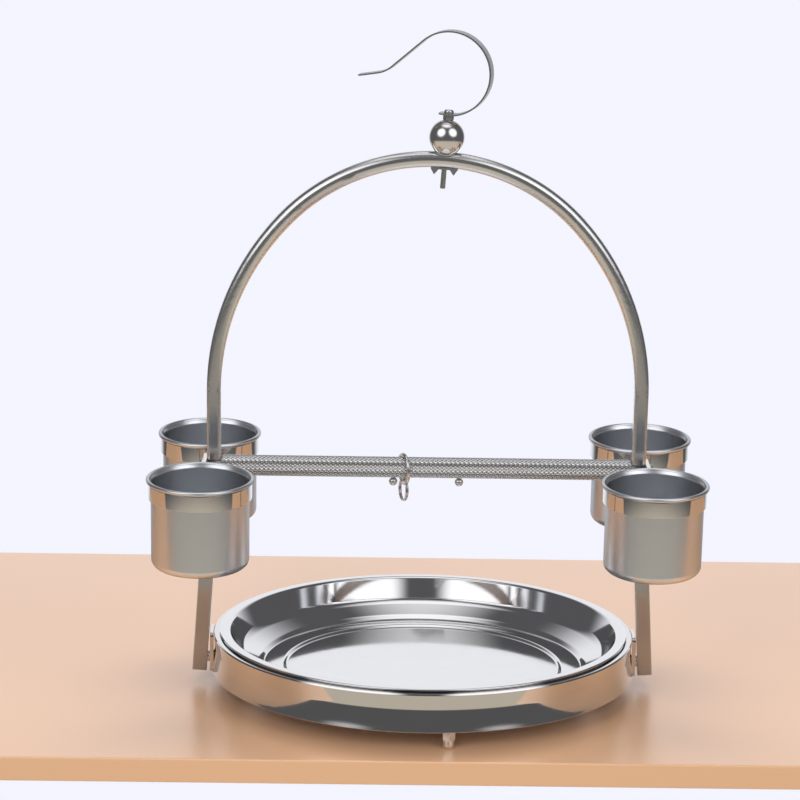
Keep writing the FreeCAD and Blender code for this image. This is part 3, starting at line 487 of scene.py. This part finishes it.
for side in SIDES:
    edged_copy("cup_strip_" + side, STRIP_EDGE, ring_steel, "mirror_steel", "frame")
    for end in ENDS:
        edged_copy("cup_band_%s_%s" % (end, side), STRIP_EDGE, ring_steel, "mirror_steel", "frame")

# Cups: spun from sheet, with a rolled rim; they stand loose in their bands.
# They are left satin, with fine lines round the wall from the spinning, and shine less at a slant.
CUP_TINT = (0.92, 0.94, 0.97, 1)
CUP_EDGE_TINT = (0.45, 0.45, 0.45, 1)
CUP_ROUGHNESS = 0.24
CUP_HAZE = 0.12
CUP_LINE_SCALE = (6.0, 6.0, 900.0)
CUP_LINE_DETAIL = 4.0
CUP_LINE_DEPTH = 0.02 * MM
FRAME_LEAN = math.radians(4.0)

cup_steel = worn_steel("cup_satin_steel", CUP_TINT, CUP_ROUGHNESS, CUP_HAZE, wave=CUP_LINE_DEPTH)
tree = cup_steel.node_tree
tree.nodes["Principled BSDF"].inputs["Specular Tint"].default_value = CUP_EDGE_TINT
upright = add_node(tree, "ShaderNodeMapping", Rotation=(-FRAME_LEAN, 0, 0))
stretch = add_node(tree, "ShaderNodeMapping", Scale=CUP_LINE_SCALE)
lines = add_node(tree, "ShaderNodeTexNoise", Scale=1.0, Detail=CUP_LINE_DETAIL)
tree.links.new(tree.nodes["Texture Coordinate"].outputs["Object"], upright.inputs["Vector"])
tree.links.new(upright.outputs["Vector"], stretch.inputs["Vector"])
tree.links.new(stretch.outputs["Vector"], lines.inputs["Vector"])
tree.links.new(lines.outputs["Fac"], tree.nodes["bump"].inputs["Height"])
finish_nodes(cup_steel, *("cup_%s_%s" % (end, side) for end in ENDS for side in SIDES))

# Leash ring: bright round wire bent to a ring, its ends welded together.
# It hangs on the bar and slides along it between the stop balls.
finish_nodes(fastener_steel, "leash_ring")

# Split link: two turns of spring wire side by side, as on a key ring, the ends cut square.
# It is threaded on the leash ring and swings on it, of the same bright wire.
LINK_RADIUS = 8.4 * MM
LINK_WIRE = 0.65 * MM
LINK_PITCH = 1.25 * MM
LINK_TURNS = 2
LINK_STEPS = 64
WIRE_SIDES = 12
LINK_TURN = math.radians(-20)

link_low, link_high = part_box("leash_link")
bpy.ops.object.select_all(action="DESELECT")
bpy.ops.mesh.primitive_circle_add(vertices=WIRE_SIDES, radius=LINK_WIRE,
                                  rotation=(QUARTER_TURN, 0, 0))
split_link = bpy.context.object
split_link.name = "leash_split_link"
bpy.ops.object.transform_apply(location=False, rotation=True, scale=False)
bpy.ops.object.mode_set(mode="EDIT")
bpy.ops.mesh.select_all(action="SELECT")
bpy.ops.transform.translate(value=(LINK_RADIUS, 0, -LINK_PITCH * LINK_TURNS / 2))
bpy.ops.object.mode_set(mode="OBJECT")
apply_modifier(split_link, "SCREW", axis="Z", angle=FULL_TURN, iterations=LINK_TURNS,
               steps=LINK_STEPS, render_steps=LINK_STEPS, screw_offset=LINK_PITCH,
               use_merge_vertices=True)
bpy.ops.object.mode_set(mode="EDIT")
bpy.ops.mesh.select_mode(type="EDGE")
bpy.ops.mesh.select_all(action="DESELECT")
bpy.ops.mesh.select_non_manifold()
bpy.ops.mesh.edge_face_add()
bpy.ops.mesh.select_all(action="SELECT")
bpy.ops.mesh.normals_make_consistent(inside=False)
bpy.ops.transform.rotate(value=QUARTER_TURN, orient_axis="Y", center_override=(0, 0, 0))
bpy.ops.transform.rotate(value=LINK_TURN, orient_axis="Z", center_override=(0, 0, 0))
bpy.ops.transform.rotate(value=FRAME_LEAN, orient_axis="X", center_override=(0, 0, 0))
bpy.ops.transform.translate(value=(link_low + link_high) / 2)
bpy.ops.mesh.select_mode(type="VERT")
bpy.ops.object.mode_set(mode="OBJECT")
bpy.ops.object.shade_smooth_by_angle(angle=SHARP_ANGLE)
install(split_link, fastener_steel, "fastener_steel", "split_link", "leash_link")

# Finial: a ball on the hoop, a long screw through it, a nut over it and a pressed wing nut below.
# The ball is bright steel with a little wear, so that what it mirrors has soft edges.
BALL_TINT = (0.88, 0.875, 0.87, 1)
BALL_ROUGHNESS = 0.10

ball_steel = worn_steel("ball_bright_steel", BALL_TINT, BALL_ROUGHNESS, FASTENER_HAZE)
finish_nodes(ball_steel, "finial_ball")
for piece in ("finial_screw", "hook_nut", "wing_nut"):
    edged_copy(piece, PIN_EDGE, fastener_steel, "fastener_steel", "frame")

# Hook: flat spring strip bent to an open bow; it swivels on the finial's screw, over the nut.
# Its faces are satin from the grinding belt and darker than the rest, its edges are deburred.
HOOK_TINT = (0.46, 0.46, 0.465, 1)
HOOK_ROUGHNESS = 0.30
HOOK_EDGE = 0.3 * MM

hook_steel = worn_steel("hook_satin_steel", HOOK_TINT, HOOK_ROUGHNESS, FASTENER_HAZE)
edged_copy("hook_strip", HOOK_EDGE, hook_steel, "satin_steel", "hook")

# Table: a pale brown board under a satin varnish, its edges rounded a little.
# The stand's feet are on it in the photograph; it isn't part of the stand.
TABLE_COLOUR = (0.68, 0.40, 0.23, 1)
TABLE_ROUGHNESS = 0.30
TABLE_VARNISH = 0.8
TABLE_BACK = 0.376
TABLE_FRONT = -0.185
TABLE_WIDTH = 2.0
TABLE_THICKNESS = 0.018
TABLE_EDGE = 1.5 * MM

bpy.ops.object.select_all(action="DESELECT")
table_middle = (0, (TABLE_BACK + TABLE_FRONT) / 2, -TABLE_THICKNESS / 2)
bpy.ops.mesh.primitive_cube_add(size=1, location=table_middle)
table = bpy.context.object
table.name = "table_board"
bpy.ops.transform.resize(value=(TABLE_WIDTH, TABLE_BACK - TABLE_FRONT, TABLE_THICKNESS))
bpy.ops.object.transform_apply(location=True, rotation=False, scale=True)
break_edges(table, TABLE_EDGE)
table_paint = bpy.data.materials.new("table_board")
table_paint.use_nodes = True
varnish = table_paint.node_tree.nodes["Principled BSDF"].inputs
varnish["Base Color"].default_value = TABLE_COLOUR
varnish["Roughness"].default_value = TABLE_ROUGHNESS
varnish["Coat Weight"].default_value = TABLE_VARNISH
varnish["Coat Roughness"].default_value = TABLE_ROUGHNESS
table.data.materials.append(table_paint)

# Room: the camera sees a pale wall. The steel mirrors a room that is bright behind the stand and
# right above it, dim in front and beige below.
# Two soft white patches stand for the lamp covers that the ball and the tray's side mirror.
ROOM_BACKGROUND = (0.90, 0.91, 1.0, 1)
ROOM_BRIGHT = (0.95, 0.96, 1.0, 1)
ROOM_DIM = (0.10, 0.10, 0.105, 1)
ROOM_CEILING = (1.15, 1.15, 1.17, 1)
ROOM_FLOOR = (0.56, 0.51, 0.42, 1)
ROOM_STOPS = (0.60, 0.93)
CEILING_STOPS = (0.86, 0.99)
FLOOR_STOPS = (-0.30, -0.40)
LAMP_COVER = (1.30, 1.30, 1.33, 1)
LAMP_COVER_STOPS = (0.87, 0.955)
LEFT_COVER_AIM = (-0.585, -0.627, 0.515)
RIGHT_COVER_AIM = (0.585, -0.627, 0.515)

world = bpy.data.worlds.new("bright_room")
bpy.context.scene.world = world
world.use_nodes = True
tree = world.node_tree
direction = add_node(tree, "ShaderNodeTexCoord")
split = add_node(tree, "ShaderNodeSeparateXYZ")
tree.links.new(direction.outputs["Generated"], split.inputs["Vector"])


def room_layer(below, colour, measure, stops):
    """Fades from the colour below to this one as the measure goes from one stop to the other."""
    fade = add_node(tree, "ShaderNodeMapRange", interpolation_type="SMOOTHSTEP")
    fade.inputs["From Min"].default_value, fade.inputs["From Max"].default_value = stops
    layer = add_node(tree, "ShaderNodeMix", data_type="RGBA")
    layer.inputs["B"].default_value = colour
    tree.links.new(measure, fade.inputs["Value"])
    tree.links.new(fade.outputs["Result"], layer.inputs["Factor"])
    if isinstance(below, tuple):
        layer.inputs["A"].default_value = below
    else:
        tree.links.new(below, layer.inputs["A"])
    return layer.outputs["Result"]


room = room_layer(ROOM_DIM, ROOM_CEILING, split.outputs["Z"], CEILING_STOPS)
room = room_layer(room, ROOM_FLOOR, split.outputs["Z"], FLOOR_STOPS)
room = room_layer(room, ROOM_BRIGHT, split.outputs["Y"], ROOM_STOPS)
for aim in (LEFT_COVER_AIM, RIGHT_COVER_AIM):
    nearness = add_node(tree, "ShaderNodeVectorMath", operation="DOT_PRODUCT")
    nearness.inputs[1].default_value = aim
    tree.links.new(direction.outputs["Generated"], nearness.inputs[0])
    room = room_layer(room, LAMP_COVER, nearness.outputs["Value"], LAMP_COVER_STOPS)
eye = add_node(tree, "ShaderNodeLightPath")
seen = add_node(tree, "ShaderNodeMix", data_type="RGBA")
seen.inputs["B"].default_value = ROOM_BACKGROUND
tree.links.new(room, seen.inputs["A"])
tree.links.new(eye.outputs["Is Camera Ray"], seen.inputs["Factor"])
tree.links.new(seen.outputs["Result"], tree.nodes["Background"].inputs["Color"])

# Lamps: a soft box on each side of the camera, one above and one in front, turned to the stand.
# They light the table; the steel mirrors the room alone, so the lamps are hidden from it.
LAMP_AIM = Vector((0, 0, 0.2))
LAMPS = (
    ("left_box", (-0.75, -1.6, 1.2), 0.8, 0.9, 9),
    ("right_box", (1.2, -1.4, 1.2), 0.7, 0.9, 6),
    ("top_box", (0, 0.7, 1.9), 1.6, 0.8, 23),
    ("front_box", (0, -2.2, 0.6), 1.6, 1.2, 20),
)
for name, place, width, height, power in LAMPS:
    light = bpy.data.lights.new(name, "AREA")
    light.shape = "RECTANGLE"
    light.size = width
    light.size_y = height
    light.energy = power
    lamp = bpy.data.objects.new(name, light)
    bpy.context.scene.collection.objects.link(lamp)
    lamp.visible_glossy = False
    lamp.location = place
    lamp.rotation_mode = "QUATERNION"
    lamp.rotation_quaternion = (LAMP_AIM - Vector(place)).to_track_quat("-Z", "Y")

# Camera: where the photograph was taken from, worked out from the ring, cups, hoop and perch.
# It is two metres away, a little higher than the stand, and held with a slight roll.
VIEW_PITCH = math.radians(11.5)
VIEW_YAW = math.radians(0.8)
VIEW_ROLL = math.radians(0.95)
VIEW_DISTANCE = 2.02316
VIEW_TARGET = Vector((0, 0, 0.201))
VIEW_RIGHT_SHIFT = 20.64 * MM
VIEW_DOWN_SHIFT = 21.65 * MM
FOCAL_PIXELS = 2661.48
PHOTO_PIXELS = 800
SENSOR_WIDTH = 36.0

right = Vector((1, 0, 0))
forward = Vector((0, math.cos(VIEW_PITCH), -math.sin(VIEW_PITCH)))
up = Vector((0, math.sin(VIEW_PITCH), math.cos(VIEW_PITCH)))
eye_place = VIEW_TARGET - right * VIEW_RIGHT_SHIFT + up * VIEW_DOWN_SHIFT - forward * VIEW_DISTANCE
rolled_right = right * math.cos(VIEW_ROLL) + up * math.sin(VIEW_ROLL)
rolled_up = up * math.cos(VIEW_ROLL) - right * math.sin(VIEW_ROLL)
turned = Matrix.Rotation(-VIEW_YAW, 3, "Z")
camera_data = bpy.data.cameras.new("photo_camera")
camera_data.sensor_width = SENSOR_WIDTH
camera_data.lens = FOCAL_PIXELS / PHOTO_PIXELS * SENSOR_WIDTH
camera = bpy.data.objects.new("photo_camera", camera_data)
bpy.context.scene.collection.objects.link(camera)
axes = Matrix((turned @ rolled_right, turned @ rolled_up, turned @ -forward)).transposed()
camera.matrix_world = Matrix.Translation(turned @ eye_place) @ axes.to_4x4()
bpy.context.scene.camera = camera
bpy.context.scene.view_settings.view_transform = "Standard"
